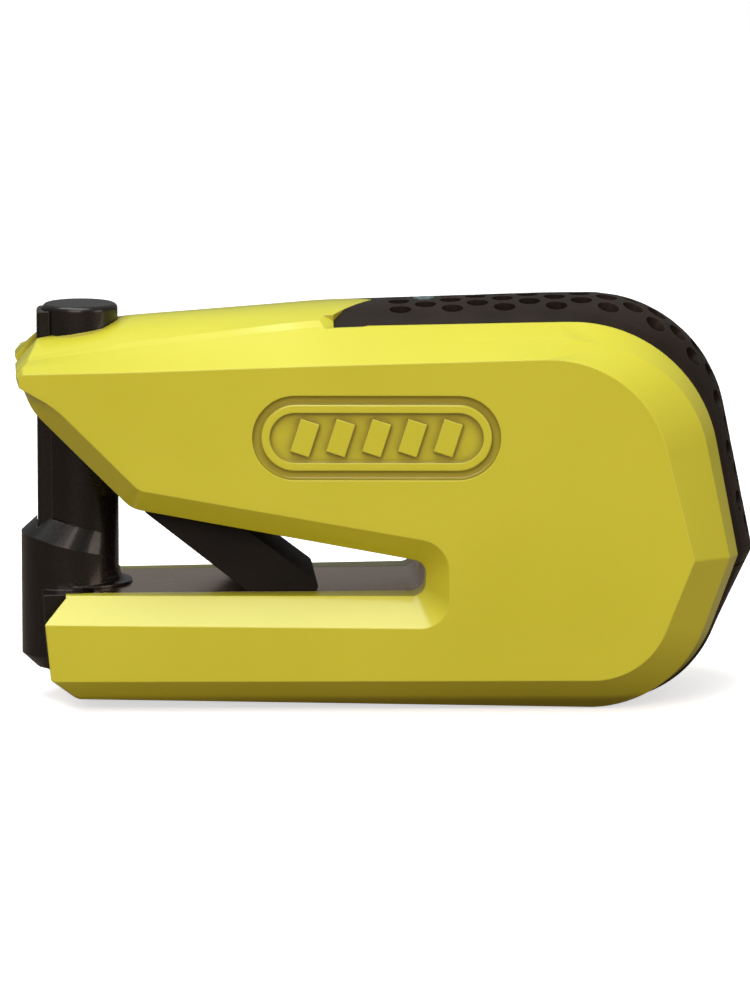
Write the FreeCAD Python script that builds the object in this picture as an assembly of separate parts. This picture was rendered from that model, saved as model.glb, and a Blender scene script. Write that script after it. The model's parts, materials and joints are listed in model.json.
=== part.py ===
"""Electronic disc brake lock for motorcycles.

Frame, in millimetres: the origin is on the bolt's axis at the level of the throat floor, +X runs
from the nose to the rear, +Z is up, and Y = 0 is the plane of symmetry.
"""
import FreeCAD, Part
import math
import os

from FreeCAD import Vector

# ---- driving dimensions -------------------------------------------------------------------
FACE_Y = 19.5          # half width of the body at X = 0
FACE_TAPER = 0.06      # growth of the half width per mm towards the rear
BASE_SLOPE = 0.0205    # fall of the base per mm towards the rear
BASE_TRIM = 0.02       # depth planed off the base
WALL = 2.8             # thickness of the flat walls

BOLT_R = 6.6
BOLT_FOOT_Z = -9.0
BOLT_CAP_Z = 44.0      # underside of the cap
BOLT_TOP_Z = 49.4
BOLT_TRAVEL = 28.0
RUN = 0.05             # radial running clearance
KEY_X = -7.6           # outer face of the bolt's key
KEY_Y = 4.2            # half width of the key

SEAL_R = 7.9           # outer radius of the bolt's wiper ring
SEAL_Z = 39.8

BOSS_R = 8.7           # receiver boss, set forward of the bolt
BOSS_X = -1.8
BOSS_LIP_Z = 7.1       # outer edge of its lip, above the boss's own axis
BOSS_TILT = 14.0       # degrees, fall of the boss's top towards the rear
FLANGE_R = 8.9         # flared foot of the boss around the bolt
THROAT_STEEL_Y = 12.5  # half width of the steel lining
LINING = 1.8           # thickness of the steel lining

STRIP_Y = 13.0         # half width of the perforated cover
STRIP_SEAT = 2.4       # depth of its seat at the edges
STRIP_WALL = 2.0
TONGUE_X = 44.0        # front ends of its two tongues
TONGUE_Y = 9.5         # inner edge of the tongues at their ends
FIT = 0.08             # gap between fixed plastic pieces
HOLE_R = 1.9
HOLE_PITCH = 5.2
GRILLE_START_X = 55.7
GRILLE_END_Z = 8.5

BADGE_X = 50.8         # centre of the badge
BADGE_Z = 28.4
BADGE_LENGTH = 43.0
BADGE_HEIGHT = 14.7
BADGE_DEPTH = 1.0
BADGE_BARS = 5
BADGE_PITCH = 6.2

LATCH_Z0 = 25.0
LATCH_Z1 = 28.6
LATCH_Y = 4.0
GEAR_MODULE = 0.65
GEAR_TEETH = 14
PINION_TEETH = 10

FLAP_PIVOT = (13.6, 19.3)
FLAP_TILT = -38.3      # degrees, direction from the pivot to the free end
FLAP_Y = 12.3
FLAP_HUB_R = 4.25
FLAP_UPPER = 2.4       # blade's upper face above the pivot's line, at the hub
FLAP_TOE = 3.07        # the same at the foot
FLAP_LOWER = 5.7       # blade's lower face below the pivot's line
FLAP_LENGTH = 32.6     # from the pivot to the upper corner of the foot

BATTERY_R = 5.25
BATTERY_LENGTH = 44.5

SIREN_R = 10.5
SIREN_X = 68.5
SIREN_Z = 38.0         # top of the siren


# ---- outline tools ------------------------------------------------------------------------
def base_z(x):
    """Height of the flat base, which falls slightly towards the rear."""
    return -18.1 - BASE_SLOPE * (x + 5.0)


def face_y(shift=0.0):
    """Plane of the tapered side face, moved inwards by shift."""
    return lambda x: -(FACE_Y - shift + FACE_TAPER * x)


def edge_y(shift=0.0):
    """Plane of the inner edge of the main bevel."""
    return lambda x: -(15.9 - shift + 0.025 * x)


def level_y(y):
    return lambda x: y


def inset(corners, gap):
    """Moves each side of a clockwise outline inwards by gap; a negative gap grows it."""
    count = len(corners)
    lines = []
    for i in range(count):
        x0, z0, _ = corners[i]
        x1, z1, _ = corners[(i + 1) % count]
        length = math.hypot(x1 - x0, z1 - z0)
        ux, uz = (x1 - x0) / length, (z1 - z0) / length
        lines.append((x0 + uz * gap, z0 - ux * gap, ux, uz))
    moved = []
    for i in range(count):
        ax, az, aux, auz = lines[i - 1]
        bx, bz, bux, buz = lines[i]
        cross = aux * buz - auz * bux
        if abs(cross) < 0.003:
            moved.append((bx, bz, corners[i][2]))
            continue
        t = ((bx - ax) * buz - (bz - az) * bux) / cross
        turn_inwards = cross < 0
        radius = corners[i][2] - gap if turn_inwards else corners[i][2] + gap
        moved.append((ax + aux * t, az + auz * t, max(radius, 0.3)))
    return moved


def rounded_wire(corners, y_of):
    """Closed wire of straight sides and rounded corners, in the plane y = y_of(x)."""
    def point(x, z):
        return Vector(x, y_of(x), z)

    arcs = []
    count = len(corners)
    for i in range(count):
        x, z, radius = corners[i]
        px, pz, _ = corners[i - 1]
        nx, nz, _ = corners[(i + 1) % count]
        a = math.atan2(pz - z, px - x)
        b = math.atan2(nz - z, nx - x)
        opening = abs((b - a + math.pi) % (2 * math.pi) - math.pi)
        if math.pi - opening < 0.02:
            reach = min(radius, 4.0)
            middle = (x, z)
        else:
            reach = radius / math.tan(opening / 2)
            bisector = (math.cos(a) + math.cos(b), math.sin(a) + math.sin(b))
            size = math.hypot(*bisector)
            depth = radius / math.sin(opening / 2) - radius
            middle = (x + bisector[0] / size * depth, z + bisector[1] / size * depth)
        start = (x + math.cos(a) * reach, z + math.sin(a) * reach)
        end = (x + math.cos(b) * reach, z + math.sin(b) * reach)
        arcs.append((start, middle, end, math.pi - opening < 0.02))
    edges = []
    for i in range(count):
        start, middle, end, straight = arcs[i]
        if straight:
            edges.append(Part.LineSegment(point(*start), point(*end)).toShape())
        else:
            edges.append(Part.Arc(point(*start), point(*middle), point(*end)).toShape())
        edges.append(Part.LineSegment(point(*end), point(*arcs[(i + 1) % count][0])).toShape())
    return Part.Wire(edges)


def ruled(levels):
    """Solid with flat or ruled walls through levels of (corners, plane)."""
    return Part.makeLoft([rounded_wire(c, y) for c, y in levels], True, True)


def smooth(levels):
    """Solid with a smooth wall through levels of (corners, plane)."""
    return Part.makeLoft([rounded_wire(c, y) for c, y in levels], True, False)


def prism(corners, y0, y1):
    """Outline in XZ swept along Y from y0 to y1."""
    face = Part.Face(rounded_wire(corners, level_y(y0)))
    return face.extrude(Vector(0, y1 - y0, 0))


def plan_prism(points, z0, z1):
    """Polygon in XY swept along Z from z0 to z1."""
    wire = Part.makePolygon([Vector(x, y, z0) for x, y in points + points[:1]])
    return Part.Face(wire).extrude(Vector(0, 0, z1 - z0))


def mirrored(shape):
    return shape.mirror(Vector(0, 0, 0), Vector(0, 1, 0))


def both_sides(shape):
    return shape.fuse(mirrored(shape)).removeSplitter()


def box(x0, x1, y0, y1, z0, z1):
    return Part.makeBox(x1 - x0, y1 - y0, z1 - z0, Vector(x0, y0, z0))


def rod(radius, start, length, axis):
    return Part.makeCylinder(radius, length, Vector(*start), Vector(*axis))


def largest(shape):
    """The biggest solid of a shape, without loose slivers."""
    return max(shape.Solids, key=lambda s: s.Volume)


# ---- body outlines: nose low, nose high, behind the bolt, top, start of the top rear bend,
# top rear, rear tip, base rear, base front ----
FACE = [(-10.9, 38.0, 0.5), (-10.2, 39.4, 0.6), (7.0, 39.75, 60), (42.0, 41.0, 150),
        (78.6, 42.07, 1), (96.8, 42.6, 21), (105.8, 6.9, 0.8), (97.5, -14.1, 13.4), (-5.6, -14.5, 0.6)]
EDGE = [(-11.4, 38.9, 0.8), (-10.2, 40.4, 0.8), (7.0, 41.5, 60), (42.0, 44.2, 150),
        (85.0, 44.8, 6), (105.5, 40.4, 22), (112.6, 6.3, 0.8), (103.0, base_z(103.0), 21),
        (-2.6, base_z(-2.6), 3)]
SHOULDER = [(-11.5, 39.1, 0.8), (-9.2, 41.0, 0.8), (7.0, 43.0, 60), (42.0, 46.7, 150),
            (81.0, 47.18, 1), (106.5, 47.5, 26), (114.6, 5.9, 0.8), (104.9, base_z(104.9), 21),
            (-2.6, base_z(-2.6), 3)]
CROWN = [(-11.5, 39.2, 0.8), (-9.0, 41.5, 0.8), (7.0, 43.8, 60), (42.0, 47.8, 150),
         (81.0, 48.22, 1), (107.2, 48.5, 26), (115.6, 5.8, 0.8), (105.3, base_z(105.3), 20),
         (-2.6, base_z(-2.6), 3)]
RIDGE = [(-11.5, 39.3, 0.8), (-7.2, 44.2, 0.8), (7.0, 46.9, 60), (42.0, 49.3, 150),
         (81.0, 50.4, 4), (109.0, 50.5, 24), (118.2, 5.6, 0.8), (105.2, base_z(105.2), 18),
         (-2.6, base_z(-2.6), 3)]
CROWN_Y = 11.5
CAVITY_FACE = [(9.4, 38.4, 2), (95.3, 41.0, 19), (104.2, 6.8, 1), (96.6, -12.6, 12), (24.2, -13.0, 2)]
CAVITY = [(9.4, 39.0, 2), (101.5, 43.0, 20), (108.4, 6.6, 1), (100.0, -13.2, 14), (24.2, -13.0, 2)]

# throat: outside top, nose, jaw, end top, end low, outside low
THROAT_FACE = [(-20.5, 43.0, 1), (-4.4, 33.3, 12), (9.75, 19.15, 3), (63.4, 9.75, 6.5),
               (63.4, -5.05, 6), (-20.5, -4.4, 1)]
THROAT_INNER = [(-14.5, 46.8, 1), (-8.5, 32.4, 10), (8.6, 15.3, 5), (59.7, 6.0, 2.4),
                (59.4, 0.0, 2.4), (-20.5, 0.0, 1)]
THROAT_Y = 15.1


def throat_y(shift=0.0):
    return lambda x: -(THROAT_Y - shift + FACE_TAPER * x)


def throat_cut(gap=0.0):
    """The space between the jaws, with its bevels; gap grows it."""
    face = inset(THROAT_FACE, -gap)
    inner = inset(THROAT_INNER, -gap)
    reach = 0.3
    outside = [(f[0] + (f[0] - i[0]) * reach, f[1] + (f[1] - i[1]) * reach, max(f[2], 0.5))
               for f, i in zip(face, inner)]
    bevel = FACE_Y - THROAT_Y
    flare = ruled([(outside, face_y(-bevel * reach)), (inner, throat_y())])
    middle = ruled([(inner, throat_y()), (inner, level_y(0))])
    return both_sides(flare.fuse(middle))


def body_hull():
    """Outer form of the lock with nothing cut from it."""
    side = ruled([(FACE, face_y()), (EDGE, edge_y()), (SHOULDER, level_y(-STRIP_Y)),
                  (CROWN, level_y(-CROWN_Y))])
    crown = smooth([(CROWN, level_y(-CROWN_Y)), (RIDGE, level_y(0)), (CROWN, level_y(CROWN_Y))])
    return side.fuse([crown, mirrored(side)])


def strip_plan(gap):
    """Plan of the perforated cover: two tongues in front, around a point of the body's ridge."""
    side = STRIP_Y + gap
    return [(TONGUE_X - gap, -side), (TONGUE_X - gap, -TONGUE_Y), (51.2 - gap, 0),
            (TONGUE_X - gap, TONGUE_Y), (TONGUE_X - gap, side), (125, side), (125, -side)]


def strip_seat():
    """The band around top and rear that the perforated cover and the rear cover fill."""
    band = plan_prism(strip_plan(FIT), 20, 60)
    band = band.fuse(box(90, 125, -STRIP_Y - FIT, STRIP_Y + FIT, -40, 20.5))
    return band.cut(prism(inset(SHOULDER, STRIP_SEAT), -20, 20))


def tongue_facets(reach):
    """Space above two slanted facets: down from the body's top, then up along the cover's tongue.

    Both facets climb towards the middle plane; reach is how far they run inwards.
    """
    profile = [(40.0, 47.43), (TONGUE_X, 45.45), (54.0, 47.53), (54.0, 60.0), (40.0, 60.0)]
    side = -STRIP_Y - 0.3
    wire = Part.makePolygon([Vector(x, side, z) for x, z in profile + profile[:1]])
    return both_sides(Part.Face(wire).extrude(Vector(0, reach, 0.465 * reach)))


def cavity():
    """Inside of the two shells behind the lock block, clear of the throat."""
    side = ruled([(CAVITY_FACE, face_y(WALL)), (CAVITY, edge_y(1.2)), (CAVITY, level_y(0))])
    return both_sides(side).cut(throat_cut(2.6))


def ground():
    """Everything below the flat base."""
    fall = math.degrees(math.atan(BASE_SLOPE))
    block = box(-40, 160, -40, 40, -30, 0).rotated(Vector(0, 0, 0), Vector(0, 1, 0), fall)
    return block.translated(Vector(0, 0, base_z(0) + BASE_TRIM))


def jaw_tip_cut():
    """Slanted ends of the shells on the lower jaw, where the receiver shows."""
    near = plan_prism([(-20, -30), (-7.2, -19.6), (-2.9, -15.3), (-2.9, 0.5), (-20, 0.5)], -40, 3)
    return both_sides(near)


def badge():
    """Oval groove, a raised band inside it, and slanted bars in the field within the band."""
    slope = math.degrees(math.atan(FACE_TAPER))

    def oval(length, height, depth):
        r = height / 2
        half = length / 2 - r
        shape = rod(r, (-half, 0, 0), depth, (0, 1, 0)).fuse(
            [rod(r, (half, 0, 0), depth, (0, 1, 0)), box(-half, half, 0, depth, -r, r)])
        return shape.removeSplitter()

    groove = oval(BADGE_LENGTH, BADGE_HEIGHT, BADGE_DEPTH + 0.2).translated(Vector(0, -0.2, 0))
    groove = groove.makeFillet(0.5, [e for e in groove.Edges if e.BoundBox.YMin > BADGE_DEPTH - 0.1])
    band = oval(BADGE_LENGTH - 3.0, BADGE_HEIGHT - 3.0, 2.0).translated(Vector(0, 0.1, 0))
    band = band.makeFillet(0.3, [e for e in band.Edges if e.BoundBox.YMax < 0.2])
    field = oval(BADGE_LENGTH - 6.0, BADGE_HEIGHT - 6.0, BADGE_DEPTH)
    bars = []
    for i in range(BADGE_BARS):
        bar = box(-1.7, 1.7, 0.1, 2.0, -3.0, 3.0).rotated(Vector(0, 0, 0), Vector(0, 1, 0), 18)
        bars.append(bar.translated(Vector(BADGE_PITCH * (i - (BADGE_BARS - 1) / 2), 0, 0)))
    cut = groove.cut(band).fuse(field.cut(bars[0].fuse(bars[1:])))
    cut = cut.rotated(Vector(0, 0, 0), Vector(0, 0, 1), -slope)
    return cut.translated(Vector(BADGE_X, -(FACE_Y + FACE_TAPER * BADGE_X), BADGE_Z))


def bolt_well():
    """The slot through the nose and the round well that the bolt stands in."""
    well = rod(BOLT_R + 0.1, (0, 0, 10), 60, (0, 0, 1))
    slot = box(-20, 0, -KEY_Y - 0.25, KEY_Y + 0.25, 10, 60)
    return well.fuse(slot)


def collar():
    """Raised ring around the bolt, cut level with the ridge."""
    ring = rod(7.2, (0, 0, 36), 14, (0, 0, 1))
    above = plan_prism([(-20, -20), (20, -20), (20, 20), (-20, 20)], 0, 20)
    above = above.rotated(Vector(0, 0, 0), Vector(0, 1, 0), -9.6).translated(Vector(0, 0, 44.95))
    return ring.cut(above)


# ---- steel and plastic pieces that fill the body ------------------------------------------
def shells():
    """The near and far halves of the yellow body."""
    body = body_hull().cut(throat_cut())
    body = body.fuse(collar())
    tools = [cavity(), ground(), strip_seat(), tongue_facets(STRIP_Y + 0.3 - TONGUE_Y), jaw_tip_cut(),
             bolt_well(), badge(), mirrored(badge()),
             rod(SEAL_R + 0.02, (0, 0, SEAL_Z - 0.02), 1.64, (0, 0, 1)),
             block_room(), flap_window(), lining_room(), receiver_room()]
    for tool in tools + screw_holes():
        body = body.cut(tool)
    near = largest(body.common(box(-30, 130, -40, -0.01, -40, 70)))
    return near, mirrored(near)


BLOCK = [(-5.6, 38.6, 1.0), (22.0, 38.6, 1.0), (22.0, 25.0, 0.5), (9.2, 25.0, 0.5), (9.2, 18.4, 1.0),
         (-4.4, 31.5, 1.0)]
BLOCK_Y = 11.0


def block_room():
    return prism(inset(BLOCK, -FIT), -BLOCK_Y - FIT, BLOCK_Y + FIT)


def flap_window():
    """Opening in the upper jaw's underside for the sensor flap's housing."""
    return prism(inset(HOUSING, -FIT), -HOUSING_Y - FIT, HOUSING_Y + FIT)


def lining_room():
    solid = prism(inset(THROAT_INNER, -LINING - FIT), -THROAT_STEEL_Y - FIT, THROAT_STEEL_Y + FIT)
    return solid.common(lining_zone(FIT))


def lining_zone(gap):
    """Part of the throat that has the steel lining: the floor, the end and a short lip."""
    return box(-1.0 - gap, 70, -20, 20, -10, 4.6 + gap).fuse(box(53.0 - gap, 70, -20, 20, 0, 20))


def receiver_room():
    foot = rod(BOSS_R + FIT, (BOSS_X, 0, -14.9), 21, (0, 0, 1))
    foot = foot.fuse(rod(FLANGE_R + FIT, (0, 0, -0.1), 3, (0, 0, 1)))
    return foot.fuse(box(-20, 24 + FIT, -13 - FIT, 13 + FIT, -14.2, -LINING - FIT)).fuse(
        box(-20, 0, -13 - FIT, 13 + FIT, -14.2, 0.1))


def key_solid(z0, z1, gap):
    return box(KEY_X - gap, 0, -KEY_Y - gap, KEY_Y + gap, z0, z1)


def lock_block():
    """Hardened block in the upper jaw that guides the bolt and holds the latch."""
    block = prism(BLOCK, -BLOCK_Y, BLOCK_Y)
    block = block.cut(rod(BOLT_R + RUN, (0, 0, 0), 60, (0, 0, 1)))
    block = block.cut(key_solid(0, 60, 0.1))
    block = block.cut(box(0, 30, -LATCH_Y - 0.06, LATCH_Y + 0.06, LATCH_Z0 - 0.06, LATCH_Z1 + 0.06))
    block = block.cut(box(17.0, 30, -LATCH_Y - 0.06, LATCH_Y + 0.06, LATCH_Z1, LATCH_Z1 + 2.2))
    block = block.cut(rod(1.3, (0, 5.2, 34.0), 10, (0, 1, 0)))
    return largest(block)


def stop_pin():
    """Pin that runs in the bolt's long groove and limits its travel."""
    return rod(1.25, (0, 5.35, 34.0), 5.5, (0, 1, 0))


def throat_lining():
    """Steel strip on the lower jaw that turns up around the end of the throat."""
    outer = prism(inset(THROAT_INNER, -LINING), -THROAT_STEEL_Y, THROAT_STEEL_Y)
    strip = outer.cut(prism(THROAT_INNER, -20, 20)).common(lining_zone(0))
    strip = strip.cut(rod(FLANGE_R + FIT, (0, 0, -20), 40, (0, 0, 1)))
    strip = strip.cut(box(-20, 2, -20, 20, -20, 20))
    return largest(strip)


def sloped_ellipse(radius, x, z):
    """Edge where an upright cylinder around x is cut by a plane that falls to the rear at BOSS_TILT."""
    fall = radius * math.tan(math.radians(BOSS_TILT))
    curve = Part.Ellipse(Vector(x + radius, 0, z - fall), Vector(x, radius, z), Vector(x, 0, z))
    return Part.Wire([curve.toShape()])


def boss():
    """Round guard in front of the bolt: upright wall, conical lip and a flared foot."""
    low = Part.Face(sloped_ellipse(BOSS_R, BOSS_X, BOSS_LIP_Z))
    wall = low.extrude(Vector(0, 0, -40)).common(box(-30, 30, -30, 30, -12.4, 60))
    lip = Part.makeLoft([sloped_ellipse(BOSS_R, BOSS_X, BOSS_LIP_Z),
                         sloped_ellipse(BOLT_R + 0.5, 0, BOSS_LIP_Z + 3.5)], True, True)
    guard = wall.fuse(lip)
    guard = guard.cut(box(4.0, 30, -30, 30, 1.5, 60))
    inner = BOLT_R - 0.5
    foot, rim = Vector(FLANGE_R, 0, 0.05), Vector(FLANGE_R, 0, 0.5)
    waist, neck = Vector(FLANGE_R - 1.5, 0, 1.0), Vector(FLANGE_R - 2.0, 0, 2.5)
    straight = Part.makePolygon([neck, Vector(inner, 0, 2.5), Vector(inner, 0, 0.05), foot, rim])
    profile = Part.Wire(straight.Edges + [Part.Arc(rim, waist, neck).toShape()])
    flange = Part.Face(profile).revolve(Vector(0, 0, 0), Vector(0, 0, 1), 360)
    flange = flange.common(box(-6.8, 20, -20, 20, 0, 5))
    chin = Part.makeCone(BOSS_R - 2.6, BOSS_R, 2.4, Vector(BOSS_X, 0, -14.8))
    return guard.fuse([flange, chin])


def receiver():
    """Black boss on the lower jaw's tip with the foot that anchors it in the jaw."""
    tip = prism([(-6.9, -0.2, 0.5), (0.0, -0.2, 0.3), (0.0, -14.0, 0.3), (-6.1, -14.0, 1.5)], -13, 13)
    foot = prism([(-5, -LINING - 0.1, 0.5), (24, -LINING - 0.1, 0.5), (24, -14, 0.5), (-4.6, -14, 0.5)],
                 -12.9, 12.9)
    solid = boss().fuse([tip, foot])
    solid = solid.cut(rod(BOLT_R + RUN, (0, 0, BOLT_FOOT_Z - 2.5), 60, (0, 0, 1)))
    solid = solid.cut(key_solid(BOLT_FOOT_Z - 2.5, 60, 0.1))
    return largest(solid)


def bolt():
    """Round bolt with a key along its front, latch notches and a blind bore for the ejector."""
    body = rod(BOLT_R, (0, 0, BOLT_FOOT_Z), BOLT_CAP_Z - BOLT_FOOT_Z, (0, 0, 1))
    key = key_solid(BOLT_FOOT_Z, 48.4, 0)
    key = key.makeFillet(0.8, [e for e in key.Edges if e.BoundBox.XMax < KEY_X + 0.1])
    body = body.fuse(key.cut(rod(BOLT_R + 0.2, (0, 0, BOLT_CAP_Z), 9, (0, 0, 1))))
    latch_notch = box(3.85, 10, -10, 10, LATCH_Z0 - 0.15, LATCH_Z1 + 0.15)
    body = body.cut([latch_notch, latch_notch.translated(Vector(0, 0, -BOLT_TRAVEL))])
    groove = box(-1.4, 1.4, 5.15, 10, 34.0 - BOLT_TRAVEL - 0.1, 34.0 + 0.1)
    ends = [rod(1.4, (0, 5.15, z), 5, (0, 1, 0)) for z in (34.0 - BOLT_TRAVEL - 0.1, 34.1)]
    body = body.cut(groove.fuse(ends))
    body = body.cut(rod(3.2, (0, 0, BOLT_FOOT_Z), 13, (0, 0, 1)))
    body = body.cut(rod(2.0, (0, 0, BOLT_CAP_Z - 8), 12, (0, 0, 1)))
    return largest(body.removeSplitter())


def bolt_cap():
    """Push cap on the bolt's top, with a spigot into the bolt."""
    cap = rod(BOLT_R, (0, 0, BOLT_CAP_Z), BOLT_TOP_Z - BOLT_CAP_Z, (0, 0, 1))
    cap = cap.makeFillet(0.9, [e for e in cap.Edges if e.BoundBox.ZMin > BOLT_TOP_Z - 0.1])
    return cap.fuse(rod(1.95, (0, 0, BOLT_CAP_Z - 7.5), 8, (0, 0, 1)))


def bolt_seal():
    """Rubber wiper ring under the collar's rim."""
    ring = rod(SEAL_R, (0, 0, SEAL_Z), 1.6, (0, 0, 1)).cut(rod(BOLT_R + 0.06, (0, 0, 30), 30, (0, 0, 1)))
    return largest(ring.cut(key_solid(30, 50, 0.25)))


def coil(radius, wire, turns, height):
    """Helical spring standing on z = 0, as one solid."""
    helix = Part.makeHelix(height / turns, height, radius)
    start = Vector(radius, 0, 0)
    profile = Part.Wire(Part.makeCircle(wire, start, Vector(0, 1, 0)))
    return Part.Wire(helix.Edges).makePipeShell([profile], True, True)


def ejector_spring():
    """Short spring under the bolt that pops it up when the latch lets go."""
    spring = coil(2.4, 0.4, 9, 13.2)
    return spring.translated(Vector(0, 0, BOLT_FOOT_Z - 1.95))


def spur_gear(teeth, module, width, bore, thin=0.12):
    """Involute gear about the Y axis with one tooth pointing down, from y = 0 to y = width."""
    pressure = math.radians(20)
    pitch_r = teeth * module / 2
    base_r = pitch_r * math.cos(pressure)
    tip_r = pitch_r + 0.9 * module
    root_r = pitch_r - 1.2 * module

    def involute(r):
        a = math.acos(min(1.0, base_r / r))
        return math.tan(a) - a

    half = math.pi / (2 * teeth) - thin / 2 / pitch_r + involute(pitch_r)
    radii = [max(base_r, root_r) + (tip_r - max(base_r, root_r)) * i / 4 for i in range(5)]
    points = []
    for k in range(teeth):
        centre = -math.pi / 2 + 2 * math.pi * k / teeth
        flank = [(root_r, -half)] + [(r, -(half - involute(r))) for r in radii]
        flank += [(r, -a) for r, a in reversed(flank)]
        points += [Vector(r * math.cos(centre + a), 0, r * math.sin(centre + a)) for r, a in flank]
    face = Part.Face(Part.makePolygon(points + points[:1]))
    return face.extrude(Vector(0, width, 0)).cut(rod(bore, (0, -1, 0), width + 2, (0, 1, 0)))


GEAR_R = GEAR_MODULE * GEAR_TEETH / 2
PINION_R = GEAR_MODULE * PINION_TEETH / 2
RACK_PITCH_Z = LATCH_Z1 + 1.0
GEAR_X = 34.0
GEAR_Z = RACK_PITCH_Z + GEAR_R
MOTOR_X = GEAR_X + GEAR_R + PINION_R


def latch():
    """Latch bar with a rack on its rear half."""
    bar = box(6.95, 41.0, -LATCH_Y, LATCH_Y, LATCH_Z0, LATCH_Z1)
    bar = bar.cut(box(6, 8.2, -LATCH_Y, -2.9, 20, 30).fuse(box(6, 8.2, 2.9, LATCH_Y, 20, 30)))
    pitch = math.pi * GEAR_MODULE
    slope = math.tan(math.radians(20))
    teeth = []
    for k in range(-2, 3):
        x = GEAR_X + pitch * (k + 0.5)
        foot, tip = LATCH_Z1 - 0.1, RACK_PITCH_Z + 0.85 * GEAR_MODULE
        half = pitch / 4 - 0.08
        wide = half + (RACK_PITCH_Z - foot) * slope
        narrow = half - (tip - RACK_PITCH_Z) * slope
        outline = [Vector(x - wide, -LATCH_Y, foot), Vector(x + wide, -LATCH_Y, foot),
                   Vector(x + narrow, -LATCH_Y, tip), Vector(x - narrow, -LATCH_Y, tip)]
        teeth.append(Part.Face(Part.makePolygon(outline + outline[:1])).extrude(Vector(0, 2 * LATCH_Y, 0)))
    return largest(bar.fuse(teeth))


def drive_gear():
    gear = spur_gear(GEAR_TEETH, GEAR_MODULE, 7.0, 1.5 + RUN)
    return gear.translated(Vector(GEAR_X, -3.5, GEAR_Z))


def gear_axle():
    return rod(1.5, (GEAR_X, -8.5, GEAR_Z), 17, (0, 1, 0))


def motor_pinion():
    """Pinion with one tooth in the drive gear's gap."""
    pinion = spur_gear(PINION_TEETH, GEAR_MODULE, 6.0, 1.0)
    pinion = pinion.translated(Vector(0, -3.0, 0))
    return pinion.rotated(Vector(0, 0, 0), Vector(0, 1, 0), 90).translated(Vector(MOTOR_X, 0, GEAR_Z))


def motor():
    """Small can motor with its shaft towards the gears."""
    can = rod(5.5, (0, 6.2, 0), 9.5, (0, 1, 0))
    can = can.makeFillet(0.6, [e for e in can.Edges if e.BoundBox.YMin > 15])
    nose = rod(2.0, (0, 4.9, 0), 1.4, (0, 1, 0))
    return can.fuse([nose, rod(0.95, (0, -3.5, 0), 9, (0, 1, 0))]).translated(
        Vector(MOTOR_X, 0, GEAR_Z))


def mechanism_frame():
    """Two plates and a floor that carry the axle, the motor and the latch's rear end."""
    z0, z1 = LATCH_Z0 - 0.1, GEAR_Z + 5.0
    x0, x1 = 22.1, MOTOR_X + 8
    cheek_far = box(x0, x1, 4.5, 6.1, z0, z1)
    cheek_near = box(x0, x1, -6.1, -4.5, z0, z1)
    bridge = box(x0, x0 + 2, -6.1, 6.1, LATCH_Z1 + 2.6, z1)
    frame = cheek_far.fuse([cheek_near, bridge])
    frame = frame.cut(rod(1.5, (GEAR_X, -10, GEAR_Z), 20, (0, 1, 0)))
    return largest(frame.cut(rod(2.05, (MOTOR_X, -10, GEAR_Z), 20, (0, 1, 0))))


# ---- sensor flap ---------------------------------------------------------------------------
HOUSING = [(9.35, 24.6, 0.5), (47.8, 24.6, 1.5), (47.8, 8.15, 0.4), (9.35, 15.1, 0.4)]
HOUSING_Y = 14.2


def flap_at_pivot(shape):
    return shape.rotated(Vector(0, 0, 0), Vector(0, 1, 0), -FLAP_TILT).translated(
        Vector(FLAP_PIVOT[0], 0, FLAP_PIVOT[1]))


def sensor_flap():
    """Blade that a brake disc pushes up into the jaw; rounded toe, flat foot on the throat floor."""
    blade = [(0.0, FLAP_UPPER, 0.5), (FLAP_LENGTH, FLAP_TOE, 1.5), (FLAP_LENGTH + 0.9, FLAP_TOE - 1.1, 0.6),
             (FLAP_LENGTH - 8.8, -FLAP_LOWER, 0.5), (0.0, -FLAP_LOWER, 1.5)]
    hub = rod(FLAP_HUB_R, (0, -FLAP_Y, 0), 2 * FLAP_Y, (0, 1, 0))
    shape = prism(blade, -FLAP_Y, FLAP_Y).fuse(hub)
    shape = shape.cut(rod(1.5 + RUN, (0, -20, 0), 40, (0, 1, 0)))
    shape = shape.cut(rod(FLAP_HUB_R + 0.3, (0, -3, 0), 6, (0, 1, 0)))
    shape = shape.cut(rod(2.05, (20, 4, -1.2), 3.1, (0, 1, 0)))
    shape = flap_at_pivot(shape)
    return largest(shape.cut(box(0, 60, -20, 20, -20, 0.08)))


def flap_magnet():
    return flap_at_pivot(rod(2.0, (20, 4.05, -1.2), 3.0, (0, 1, 0)))


def flap_pin():
    return rod(1.5, (FLAP_PIVOT[0], -13.6, FLAP_PIVOT[1]), 27.2, (0, 1, 0))


def flap_spring():
    """Torsion spring around the pin, its tail under the housing's roof."""
    spring = coil(2.4, 0.35, 5, 4.6)
    spring = spring.rotated(Vector(0, 0, 0), Vector(1, 0, 0), -90)
    return spring.translated(Vector(FLAP_PIVOT[0], -2.3, FLAP_PIVOT[1]))


def flap_housing():
    """Open box in the upper jaw that the flap folds into."""
    outer = prism(HOUSING, -HOUSING_Y, HOUSING_Y)
    inner = prism([(8.0, 25.0, 0.5), (47.1, 25.0, 1.0), (47.1, 4.0, 0.4), (8.0, 4.0, 0.4)], -12.7, 12.7)
    roof = box(9.4, 47, -13, 13, 23.8, 24.6)
    shell = outer.cut(inner).fuse(roof.common(outer))
    shell = shell.cut(rod(1.5, (FLAP_PIVOT[0], -20, FLAP_PIVOT[1]), 40, (0, 1, 0)))
    return largest(shell)


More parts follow.
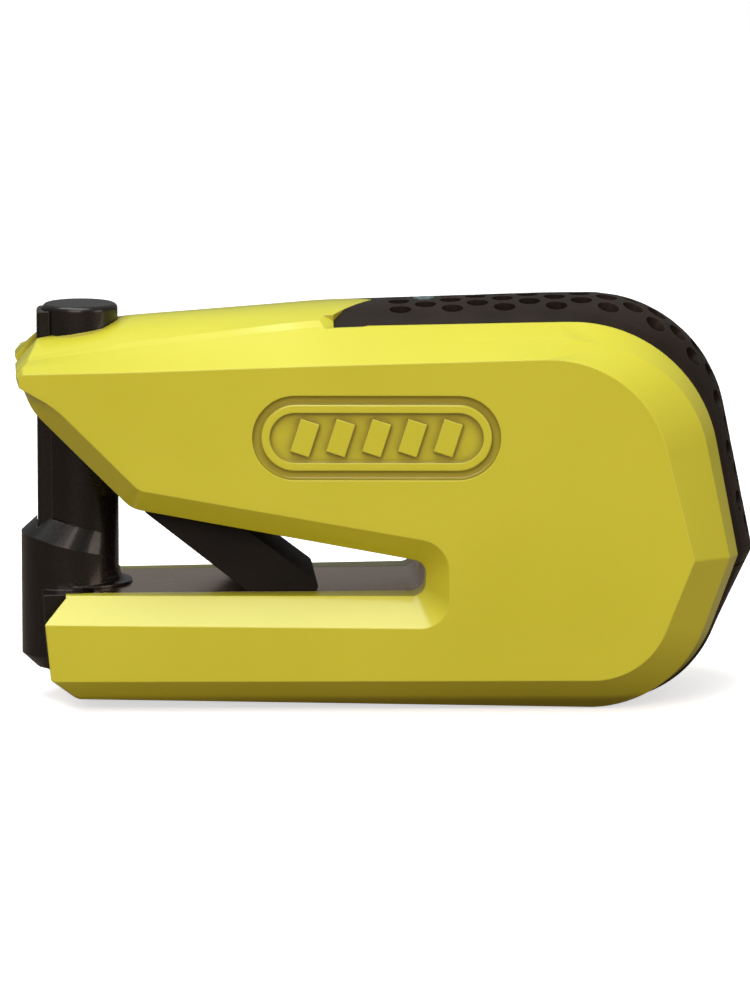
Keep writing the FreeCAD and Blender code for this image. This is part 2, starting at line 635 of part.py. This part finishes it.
# ---- covers on top and rear -----------------------------------------------------------------
def holes():
    """Centres and directions of the holes: staggered columns along the cover, square to its surface."""
    path = rounded_wire(inset(RIDGE, 1.0), level_y(0))
    step = HOLE_PITCH * math.sqrt(3) / 2
    found = []
    column = 0
    travelled = 0.0
    previous = None
    for point in path.discretize(Distance=0.05):
        if previous is not None:
            travelled += (point - previous).Length
            if point.x > GRILLE_START_X and point.z > GRILLE_END_Z and travelled >= step:
                along = (point - previous).normalize()
                rows = (-1, 0, 1) if column % 2 else (-1.5, -0.5, 0.5, 1.5)
                found += [(Vector(point.x, row * HOLE_PITCH, point.z), Vector(-along.z, 0, along.x))
                          for row in rows]
                column += 1
                travelled = 0.0
        previous = point
    return found


def strip_hull():
    crown = smooth([(CROWN, level_y(-CROWN_Y)), (RIDGE, level_y(0)), (CROWN, level_y(CROWN_Y))])
    side = ruled([(SHOULDER, level_y(-STRIP_Y)), (CROWN, level_y(-CROWN_Y))])
    return side.fuse([crown, mirrored(side)])


def cover_band():
    """Solid band between the body's outer form and the seat."""
    return strip_hull().cut(prism(inset(SHOULDER, STRIP_SEAT - FIT), -20, 20))


def grille_cover(band):
    """Perforated cover over the sounder, from the ridge down to the rear tip."""
    cover = band.common(plan_prism(strip_plan(-FIT), 4.0, 60))
    hollow = smooth([(inset(CROWN, 2.2), level_y(-10.4)), (inset(RIDGE, STRIP_WALL), level_y(0)),
                     (inset(CROWN, 2.2), level_y(10.4))])
    hollow = hollow.common(box(52.5, 125, -10.4, 10.4, 6.5, 60))
    cover = cover.cut(hollow)
    cover = cover.cut(tongue_facets(STRIP_Y))
    return largest(cover.cut([Part.makeCylinder(HOLE_R, 9, centre - normal * 4, normal)
                              for centre, normal in holes()]))


def grille_cloth(cover_solid):
    """Thin acoustic cloth behind the holes."""
    outer = smooth([(inset(CROWN, 2.3), level_y(-10.2)), (inset(RIDGE, STRIP_WALL + 0.1), level_y(0)),
                    (inset(CROWN, 2.3), level_y(10.2))])
    inner = smooth([(inset(CROWN, 2.8), level_y(-10.3)), (inset(RIDGE, STRIP_WALL + 0.6), level_y(0)),
                    (inset(CROWN, 2.8), level_y(10.3))])
    cloth = outer.cut(inner).common(box(53.0, 125, -10.1, 10.1, 7.0, 60))
    return largest(cloth.cut(cover_solid))


def rear_cover(band):
    """Lower rear cover that closes the battery bay."""
    cover = band.common(box(92, 125, -STRIP_Y, STRIP_Y, -40, 3.7)).cut(ground())
    for y in (-BRIDGE_Y, BRIDGE_Y):
        cover = cover.cut([rod(SCREW_R + 0.1, (COVER_SCREW_X, y, -25), 15, (0, 0, 1)),
                           rod(2.2, (COVER_SCREW_X, y, -25), 6.3, (0, 0, 1))])
    return largest(cover)


# ---- electronics ----------------------------------------------------------------------------
BATTERY_X = 88.0
BATTERY_Y = 6.2
BATTERY_Z = -9.5


def batteries():
    cells = []
    for side in (-1, 1):
        can = rod(BATTERY_R, (BATTERY_X, side * BATTERY_Y, BATTERY_Z), BATTERY_LENGTH - 1, (0, 0, 1))
        nub = rod(1.9, (BATTERY_X, side * BATTERY_Y, BATTERY_Z + BATTERY_LENGTH - 1), 1, (0, 0, 1))
        cells.append(can.fuse(nub))
    return Part.makeCompound(cells)


def battery_holder():
    """Tray with half-round cradles for the two cells."""
    low, high = BATTERY_Z - 0.6, BATTERY_Z + BATTERY_LENGTH + 0.6
    end_wall = 1.8
    tray = box(BATTERY_X - 7.0, BATTERY_X + 1.0, -13.5, 13.5, low - end_wall, high + end_wall)
    room = box(BATTERY_X - 9.0, BATTERY_X + 6, -11.6, 11.6, low, high)
    back = box(BATTERY_X - 7.0, BATTERY_X - 3.4, -13.5, 13.5, low - end_wall, high + end_wall)
    holder = tray.cut(room).fuse(back)
    for side in (-1, 1):
        holder = holder.cut(rod(BATTERY_R + 0.1, (BATTERY_X, side * BATTERY_Y, low), high - low, (0, 0, 1)))
    return largest(holder)


def battery_contacts():
    plates = []
    for side in (-1, 1):
        for z in (BATTERY_Z - 0.5, BATTERY_Z + BATTERY_LENGTH + 0.1):
            y = side * BATTERY_Y
            plates.append(box(BATTERY_X - 2.5, BATTERY_X + 3.5, y - 3.5, y + 3.5, z, z + 0.4))
    return Part.makeCompound(plates)


def siren():
    """Piezo sounder facing the perforated cover."""
    can = rod(SIREN_R, (SIREN_X, 0, SIREN_Z - 8.0), 8.0, (0, 0, 1))
    can = can.makeFillet(0.8, [e for e in can.Edges if e.BoundBox.ZMin > SIREN_Z - 0.1])
    return can.cut(rod(2.0, (SIREN_X, 0, SIREN_Z - 2.0), 5, (0, 0, 1)))


def siren_gasket():
    ring = rod(SIREN_R, (SIREN_X, 0, SIREN_Z + 0.05), 1.2, (0, 0, 1))
    return ring.cut(rod(7.5, (SIREN_X, 0, SIREN_Z - 1.0), 4, (0, 0, 1)))


def circuit_board():
    """Main board along the near wall, with its chips."""
    y = -16.2
    board = box(56, 78, y, y + 1.2, 15.0, 29.5)
    chips = [box(59, 66, y + 1.1, y + 2.4, 16, 23), box(69, 75, y + 1.1, y + 2.8, 20, 26),
             box(60, 62, y + 1.1, y + 2.1, 24, 28), box(69, 72, y + 1.1, y + 3.2, 16, 19)]
    return board.fuse(chips)


def position_sensor():
    """Hall sensor on its small board beside the flap housing."""
    return box(26, 34, 7.0, 11.0, 24.7, 25.5).fuse(box(28.5, 31.5, 7.6, 10.0, 25.4, 26.4))


def status_light(cover_solid):
    """Clear lens in one hole of the perforated cover."""
    centre, normal = next(hole for hole in holes() if abs(hole[0].y) < 0.1)
    lens = Part.makeCylinder(HOLE_R - 0.06, 1.7, centre - normal * 0.6, normal)
    return lens.cut(cover_solid)


def seat_z(x):
    """Height of the perforated cover's seat."""
    front, rear = SHOULDER[3], SHOULDER[4]
    slope = (rear[1] - front[1]) / (rear[0] - front[0])
    return front[1] + slope * (x - front[0]) - STRIP_SEAT


BRIDGE_X = (57.0, 80.0)
BRIDGE_Y = 6.0
SCREW_R = 1.2


def bridge_plates():
    """Two flat plates under the perforated cover that tie the shells together."""
    plates = []
    for x in BRIDGE_X:
        plate = box(x - 3, x + 3, -9, 9, seat_z(x) + 0.05, seat_z(x) + 0.55)
        for y in (-BRIDGE_Y, BRIDGE_Y):
            plate = plate.cut(rod(SCREW_R + 0.1, (x, y, 40), 10, (0, 0, 1)))
        plates.append(plate)
    return Part.makeCompound(plates)


def pan_screw(head_r, head, length):
    """Screw with its head on z = 0 and its shank below."""
    slot = box(-0.3, 0.3, -head_r, head_r, head * 0.5, head + 1)
    shank = rod(SCREW_R, (0, 0, -length), length, (0, 0, 1))
    return rod(head_r, (0, 0, 0), head, (0, 0, 1)).fuse(shank).cut(slot)


def shell_screws():
    screw = pan_screw(2.1, 0.5, 3.2)
    return Part.makeCompound([screw.translated(Vector(x, y, seat_z(x) + 0.57))
                              for x in BRIDGE_X for y in (-BRIDGE_Y, BRIDGE_Y)])


COVER_SCREW_X = 97.0


def cover_screws():
    """Screws that hold the lower rear cover from below."""
    screw = pan_screw(2.0, 1.1, 4.4).rotated(Vector(0, 0, 0), Vector(1, 0, 0), 180)
    return Part.makeCompound([screw.translated(Vector(COVER_SCREW_X, y, -18.7))
                              for y in (-BRIDGE_Y, BRIDGE_Y)])


def screw_holes():
    """Threaded holes in the shells, and the sounder's opening."""
    holes_list = [rod(SCREW_R, (x, y, seat_z(x) - 3.0), 8, (0, 0, 1)) for x in BRIDGE_X
                  for y in (-BRIDGE_Y, BRIDGE_Y)]
    holes_list += [rod(SCREW_R, (COVER_SCREW_X, y, -18), 4.0, (0, 0, 1)) for y in (-BRIDGE_Y, BRIDGE_Y)]
    return holes_list + [rod(7.0, (SIREN_X, 0, SIREN_Z), 12, (0, 0, 1))]


def build():
    band = cover_band()
    cover = grille_cover(band)
    near, far = shells()
    return {
        "near_shell": near, "far_shell": far, "lock_block": lock_block(), "stop_pin": stop_pin(),
        "throat_lining": throat_lining(), "receiver": receiver(), "bolt": bolt(), "bolt_cap": bolt_cap(),
        "bolt_seal": bolt_seal(), "ejector_spring": ejector_spring(), "latch": latch(),
        "drive_gear": drive_gear(), "gear_axle": gear_axle(), "motor_pinion": motor_pinion(),
        "motor": motor(), "mechanism_frame": mechanism_frame(), "sensor_flap": sensor_flap(),
        "flap_magnet": flap_magnet(), "flap_pin": flap_pin(), "flap_spring": flap_spring(),
        "flap_housing": flap_housing(), "grille_cover": cover, "grille_cloth": grille_cloth(cover),
        "rear_cover": rear_cover(band), "batteries": batteries(), "battery_holder": battery_holder(),
        "battery_contacts": battery_contacts(), "siren": siren(), "siren_gasket": siren_gasket(),
        "circuit_board": circuit_board(), "position_sensor": position_sensor(),
        "status_light": status_light(cover), "bridge_plates": bridge_plates(),
        "shell_screws": shell_screws(), "cover_screws": cover_screws(),
    }


def main():
    os.makedirs("parts", exist_ok=True)
    for name, shape in build().items():
        if not shape.isValid():
            print("not valid:", name)
        shape.exportStep("parts/" + name + ".step")


if __name__ == "__main__":
    main()
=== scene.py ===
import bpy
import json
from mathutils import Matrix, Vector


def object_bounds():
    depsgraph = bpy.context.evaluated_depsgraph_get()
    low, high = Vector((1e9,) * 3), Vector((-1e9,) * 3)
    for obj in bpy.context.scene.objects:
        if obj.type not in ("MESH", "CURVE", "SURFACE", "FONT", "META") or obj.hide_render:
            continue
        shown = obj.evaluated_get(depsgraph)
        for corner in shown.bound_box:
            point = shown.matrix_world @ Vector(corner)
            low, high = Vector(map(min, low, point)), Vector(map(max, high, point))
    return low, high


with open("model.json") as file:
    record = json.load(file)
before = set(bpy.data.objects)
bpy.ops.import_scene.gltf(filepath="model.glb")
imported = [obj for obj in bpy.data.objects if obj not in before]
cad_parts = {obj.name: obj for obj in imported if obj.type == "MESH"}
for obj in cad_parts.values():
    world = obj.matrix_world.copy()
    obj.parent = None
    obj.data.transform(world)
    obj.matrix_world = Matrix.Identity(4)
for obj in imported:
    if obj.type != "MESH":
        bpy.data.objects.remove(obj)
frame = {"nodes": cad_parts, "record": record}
CAD_BOX = [list(corner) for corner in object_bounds()]

# Disc brake lock: finishes, studio light and camera around the CAD frame. Lengths are in metres.
import json
import math

import bpy
from mathutils import Vector

MM = 0.001
NODES = frame["nodes"]


# ---- node helpers -------------------------------------------------------------------------
class Shader:
    """A material under construction, with short calls for the nodes used here."""

    def __init__(self, name):
        self.material = bpy.data.materials.new(name)
        self.material.use_nodes = True
        self.tree = self.material.node_tree
        self.bsdf = self.tree.nodes["Principled BSDF"]
        self.coordinates = self.tree.nodes.new("ShaderNodeTexCoord").outputs["Object"]

    def node(self, kind, **inputs):
        made = self.tree.nodes.new("ShaderNode" + kind)
        for key, value in inputs.items():
            self.feed(made.inputs[key.replace("_", " ")], value)
        return made

    def feed(self, socket, value):
        if isinstance(value, bpy.types.NodeSocket):
            self.tree.links.new(value, socket)
        else:
            socket.default_value = value

    def set(self, **inputs):
        for key, value in inputs.items():
            self.feed(self.bsdf.inputs[key.replace("_", " ")], value)

    def noise(self, scale, detail=3.0, stretch=(1, 1, 1)):
        mapping = self.node("Mapping", Vector=self.coordinates, Scale=stretch)
        made = self.node("TexNoise", Vector=mapping.outputs["Vector"], Scale=scale, Detail=detail)
        return made.outputs["Fac"]

    def remap(self, value, low, high, to_low, to_high):
        made = self.tree.nodes.new("ShaderNodeMapRange")
        for key, number in zip(("Value", "From Min", "From Max", "To Min", "To Max"),
                               (value, low, high, to_low, to_high)):
            self.feed(made.inputs[key], number)
        return made.outputs["Result"]

    def mix(self, share, first, second):
        made = self.tree.nodes.new("ShaderNodeMix")
        made.data_type = "RGBA"
        self.feed(made.inputs["Factor"], share)
        for socket, value in ((made.inputs[6], first), (made.inputs[7], second)):
            self.feed(socket, value if isinstance(value, bpy.types.NodeSocket) else (*value, 1.0))
        return made.outputs[2]

    def math(self, operation, first, second=0.0):
        made = self.tree.nodes.new("ShaderNodeMath")
        made.operation = operation
        self.feed(made.inputs[0], first)
        self.feed(made.inputs[1], second)
        return made.outputs[0]

    def bump(self, height, distance, strength=1.0, edge=0.25):
        """Surface relief over edges that are softened by the bevel radius edge, in mm."""
        rounded = self.tree.nodes.new("ShaderNodeBevel")
        rounded.samples = 6
        rounded.inputs["Radius"].default_value = edge * MM
        made = self.node("Bump", Height=height, Distance=distance * MM, Strength=strength,
                         Normal=rounded.outputs["Normal"])
        self.set(Normal=made.outputs["Normal"])

    def edge_mask(self, radius):
        """1 on convex and concave edges, 0 on flats."""
        rounded = self.tree.nodes.new("ShaderNodeBevel")
        rounded.samples = 6
        rounded.inputs["Radius"].default_value = radius * MM
        plain = self.tree.nodes.new("ShaderNodeNewGeometry").outputs["Normal"]
        dot = self.tree.nodes.new("ShaderNodeVectorMath")
        dot.operation = "DOT_PRODUCT"
        self.feed(dot.inputs[0], rounded.outputs["Normal"])
        self.feed(dot.inputs[1], plain)
        return self.remap(dot.outputs["Value"], 0.995, 0.93, 0.0, 1.0)

    def recess_shade_mask(self, reach):
        """Ambient-occlusion mask for painted shade: 1 in narrow grooves and corners, 0 on open faces; reach
        in mm.
        """
        open_sky = self.tree.nodes.new("ShaderNodeAmbientOcclusion")
        open_sky.samples = 8
        open_sky.inputs["Distance"].default_value = reach * MM
        return self.remap(open_sky.outputs["AO"], 1.0, 0.55, 0.0, 1.0)


def yellow_paint():
    """Gloss lemon-yellow lacquer over cast metal: faint orange peel, painted highlights on edges, painted
    shade in recesses.
    """
    s = Shader("yellow_paint")
    cloud = s.remap(s.noise(25, 2), 0.35, 0.65, 0, 1)
    fleck = s.remap(s.noise(5200, 1), 0.62, 0.78, 0, 1)
    base = s.mix(cloud, (0.640, 0.600, 0.026), (0.675, 0.635, 0.034))
    base = s.mix(s.math("MULTIPLY", fleck, 0.25), base, (0.76, 0.74, 0.12))
    # Painted highlight: edges are lightened toward pale yellow to stand in for light caught on rounded
    # creases.
    base = s.mix(s.math("MULTIPLY", s.edge_mask(0.35), 0.30), base, (0.80, 0.78, 0.14))
    # Painted shade: grooves and corners are darkened toward dark olive to stand in for the shade that falls
    # in recesses such as the badge.
    base = s.mix(s.math("MULTIPLY", s.recess_shade_mask(3.0), 0.75), base, (0.27, 0.21, 0.016))
    peel = s.noise(620, 2)
    s.set(Base_Color=base, Roughness=s.remap(peel, 0.3, 0.7, 0.34, 0.42), Coat_Weight=0.6,
          Coat_Roughness=0.09, Specular_IOR_Level=0.45)
    s.bump(peel, 0.008, 0.35, 0.35)
    return s.material


def black_coat():
    """Dark brown-black electro-coat on hardened steel, with a painted highlight along edges."""
    s = Shader("black_coat")
    fine = s.noise(1500, 3)
    base = s.mix(s.remap(s.noise(70, 3), 0.35, 0.7, 0, 1), (0.007, 0.006, 0.005), (0.012, 0.009, 0.008))
    # Painted highlight: edges are lightened toward brown-grey to stand in for light caught on the rims.
    lit_edges = s.mix(s.math("MULTIPLY", s.edge_mask(0.3), 0.55), base, (0.085, 0.068, 0.058))
    s.set(Base_Color=lit_edges, Metallic=0.1, Roughness=s.remap(fine, 0.3, 0.7, 0.24, 0.34),
          Specular_IOR_Level=0.3, Coat_Weight=0.3, Coat_Roughness=0.08)
    s.bump(fine, 0.005, 0.4, 0.35)
    return s.material


def brushed_steel(name, dark, light, roughness, stretch=(0.04, 1, 1), scale=2600):
    """Bare metal with grain drawn out along the axis whose stretch is smallest, if any."""
    s = Shader(name)
    grain = s.noise(scale, 3, stretch)
    stain = s.remap(s.noise(60, 2), 0.4, 0.7, 0, 0.25)
    base = s.mix(s.remap(grain, 0.3, 0.7, 0, 1), dark, light)
    base = s.mix(stain, base, dark)
    s.set(Base_Color=base, Metallic=1.0,
          Roughness=s.remap(grain, 0.3, 0.7, roughness - 0.06, roughness + 0.08))
    s.bump(grain, 0.003, 0.5, 0.15)
    return s.material


def moulded(name, first, second, roughness, grain_scale, grain_depth, gloss=0.22, edge=0.2):
    """Plastic or rubber with a fine moulded grain and a painted highlight along edges."""
    s = Shader(name)
    grain = s.noise(grain_scale, 2)
    base = s.mix(s.remap(s.noise(90, 2), 0.35, 0.65, 0, 1), first, second)
    # Painted highlight: edges are lightened in base colour to stand in for light caught on the edges.
    edge_highlight = s.math("MULTIPLY", s.edge_mask(edge), 0.35)
    base = s.mix(edge_highlight, base, tuple(min(1.0, c * 3.0) for c in second))
    s.set(Base_Color=base, Roughness=s.remap(grain, 0.3, 0.7, roughness - 0.05, roughness + 0.06),
          Specular_IOR_Level=gloss)
    s.bump(grain, grain_depth, 0.6, edge)
    return s.material


def woven_cloth():
    """Black acoustic cloth: two crossed sets of threads, 0.6 mm apart."""
    s = Shader("cloth")
    threads = []
    for direction in ("X", "Y"):
        wave = s.node("TexWave", Vector=s.coordinates, Scale=520.0, Distortion=0.4)
        wave.bands_direction = direction
        threads.append(wave.outputs["Fac"])
    weave = s.math("MULTIPLY", threads[0], threads[1])
    s.set(Base_Color=s.mix(weave, (0.002, 0.002, 0.002), (0.014, 0.012, 0.011)), Roughness=0.9)
    s.bump(weave, 0.03, 0.8, 0.05)
    return s.material


def lens():
    """Tinted light pipe with faint bands moulded under its face."""
    s = Shader("lens")
    bands = s.node("TexWave", Vector=s.coordinates, Scale=240.0, Distortion=1.5)
    fac = bands.outputs["Fac"]
    s.set(Base_Color=s.mix(fac, (0.085, 0.17, 0.17), (0.16, 0.27, 0.27)), Roughness=0.15,
          Transmission_Weight=0.2, Coat_Weight=0.5)
    s.bump(fac, 0.01, 0.4, 0.1)
    return s.material


def printed_board():
    """Green solder mask crossed by pale tinned lines."""
    s = Shader("board_green")
    tracks = s.node("TexBrick", Vector=s.coordinates, Scale=260.0, Mortar_Size=0.03)
    fac = tracks.outputs["Fac"]
    s.set(Base_Color=s.mix(fac, (0.010, 0.075, 0.030), (0.30, 0.24, 0.08)), Roughness=0.4, Coat_Weight=0.3)
    s.bump(fac, 0.02, 0.5, 0.1)
    return s.material


def build_materials():
    return {
        "yellow_paint": yellow_paint(),
        "black_coat": black_coat(),
        "hard_steel": brushed_steel("hard_steel", (0.25, 0.24, 0.23), (0.40, 0.39, 0.38), 0.35),
        "bright_steel": brushed_steel("bright_steel", (0.45, 0.45, 0.45), (0.62, 0.62, 0.62), 0.25),
        "lining_steel": brushed_steel("lining_steel", (0.64, 0.48, 0.36), (0.78, 0.60, 0.46), 0.20),
        "spring_steel": brushed_steel("spring_steel", (0.40, 0.40, 0.41), (0.60, 0.60, 0.61), 0.28,
                                      (1, 1, 1)),
        "screw_steel": brushed_steel("screw_steel", (0.35, 0.35, 0.36), (0.55, 0.55, 0.56), 0.32, (1, 1, 1)),
        "gear_brass": brushed_steel("gear_brass", (0.50, 0.36, 0.13), (0.68, 0.52, 0.24), 0.3),
        "motor_can": brushed_steel("motor_can", (0.48, 0.48, 0.48), (0.66, 0.66, 0.66), 0.2, (1, 0.05, 1)),
        "magnet_nickel": brushed_steel("magnet_nickel", (0.52, 0.50, 0.46), (0.66, 0.64, 0.60), 0.18),
        "seal_rubber": moulded("seal_rubber", (0.012, 0.012, 0.012), (0.022, 0.022, 0.022), 0.7, 1600,
                               0.01),
        "grey_plastic": moulded("grey_plastic", (0.10, 0.10, 0.11), (0.14, 0.14, 0.15), 0.5, 1500, 0.012),
        "black_plastic": moulded("black_plastic", (0.004, 0.003, 0.003), (0.008, 0.006, 0.005), 0.6, 1700,
                                 0.012),
        "cover_plastic": moulded("cover_plastic", (0.016, 0.011, 0.008), (0.024, 0.016, 0.012), 0.40, 1500,
                                 0.006, 0.10),
        "siren_plastic": moulded("siren_plastic", (0.02, 0.02, 0.02), (0.035, 0.035, 0.035), 0.5, 1500,
                                 0.012),
        "battery_can": moulded("battery_can", (0.05, 0.055, 0.065), (0.08, 0.085, 0.10), 0.3, 900, 0.004,
                               0.4),
        "cloth": woven_cloth(),
        "board_green": printed_board(),
        "lens": lens(),
    }


def dress():
    """Gives every CAD node the finish that the record names for it."""
    finishes = build_materials()
    for part in frame["record"]["subparts"]:
        mesh = NODES[part["node"]].data
        mesh.materials.clear()
        mesh.materials.append(finishes[part["material_slot"]])


# ---- studio -------------------------------------------------------------------------------
TARGET = Vector((51.7, 0.0, 14.0)) * MM
AZIMUTH = math.radians(-3.0)
ELEVATION = math.radians(9.1)
DISTANCE = 1.3
LENS = 265.9
FLOOR_SIZE = 12.0
FLOOR_GAP = 0.0002
FLOOR_BOUNCE = (0.20, 0.155, 0.125)
FLOOR_GLOW = 0.62
SKY_LOW, SKY_HIGH = 0.10, 0.9
SKY_DIM, SKY_BRIGHT = 0.15, 0.42


def view_direction(azimuth, elevation):
    return Vector((math.sin(azimuth) * math.cos(elevation), -math.cos(azimuth) * math.cos(elevation),
                   math.sin(elevation)))


def add_camera():
    data = bpy.data.cameras.new("camera")
    data.lens = LENS
    data.sensor_width = 36.0
    data.clip_start = 0.05
    camera = bpy.data.objects.new("camera", data)
    bpy.context.scene.collection.objects.link(camera)
    back = view_direction(AZIMUTH, ELEVATION)
    camera.location = TARGET + back * DISTANCE
    camera.rotation_euler = back.to_track_quat("Z", "Y").to_euler()
    bpy.context.scene.camera = camera


def add_area(name, place, size, power, tint, aim=TARGET):
    data = bpy.data.lights.new(name, "AREA")
    data.shape = "RECTANGLE"
    data.size, data.size_y = size
    data.energy = power
    data.color = tint
    light = bpy.data.objects.new(name, data)
    bpy.context.scene.collection.objects.link(light)
    light.location = place
    light.rotation_euler = (Vector(place) - aim).to_track_quat("Z", "Y").to_euler()


def add_floor():
    """Evenly lit white paper to the eye, but a dim warm surface in what the lock reflects of it."""
    bpy.ops.mesh.primitive_plane_add(size=FLOOR_SIZE, location=(0, 0, CAD_BOX[0][2] - FLOOR_GAP))
    floor = bpy.context.object
    floor.name = "floor"
    s = Shader("floor_paper")
    rays = s.tree.nodes.new("ShaderNodeLightPath")
    paper = s.mix(s.noise(40, 2), (0.93, 0.93, 0.93), (0.96, 0.96, 0.96))
    s.set(Base_Color=s.mix(rays.outputs["Is Camera Ray"], FLOOR_BOUNCE, paper), Roughness=0.8,
          Specular_IOR_Level=0.1, Emission_Color=(1.0, 1.0, 1.0, 1.0),
          Emission_Strength=s.math("MULTIPLY", rays.outputs["Is Camera Ray"], FLOOR_GLOW))
    floor.data.materials.append(s.material)


def add_world():
    """White behind the lock, and for its lighting a sky that brightens overhead."""
    world = bpy.data.worlds.new("studio")
    bpy.context.scene.world = world
    world.use_nodes = True
    nodes, links = world.node_tree.nodes, world.node_tree.links
    direction = nodes.new("ShaderNodeTexCoord")
    split = nodes.new("ShaderNodeSeparateXYZ")
    links.new(direction.outputs["Generated"], split.inputs["Vector"])
    sky = nodes.new("ShaderNodeMapRange")
    links.new(split.outputs["Z"], sky.inputs["Value"])
    for key, value in zip(("From Min", "From Max", "To Min", "To Max"),
                          (SKY_LOW, SKY_HIGH, SKY_DIM, SKY_BRIGHT)):
        sky.inputs[key].default_value = value
    rays = nodes.new("ShaderNodeLightPath")
    blend = nodes.new("ShaderNodeMix")
    links.new(rays.outputs["Is Camera Ray"], blend.inputs["Factor"])
    links.new(sky.outputs["Result"], blend.inputs["A"])
    blend.inputs["B"].default_value = 1.0
    nodes["Background"].inputs["Color"].default_value = (1.0, 1.0, 1.0, 1.0)
    links.new(blend.outputs["Result"], nodes["Background"].inputs["Strength"])


def add_light():
    add_world()
    add_area("top_soft", (-0.10, -0.12, 0.75), (0.9, 0.5), 5.6, (0.91, 1.0, 1.0))
    add_area("front_soft", (-0.30, -1.10, 0.55), (0.8, 0.8), 7.1, (1.0, 0.83, 0.76))
    add_area("side_soft", (0.95, -0.60, 0.25), (0.5, 0.5), 2.4, (1.0, 0.86, 0.78))
    bpy.context.scene.view_settings.view_transform = "Standard"


def main():
    dress()
    add_floor()
    add_light()
    add_camera()


main()
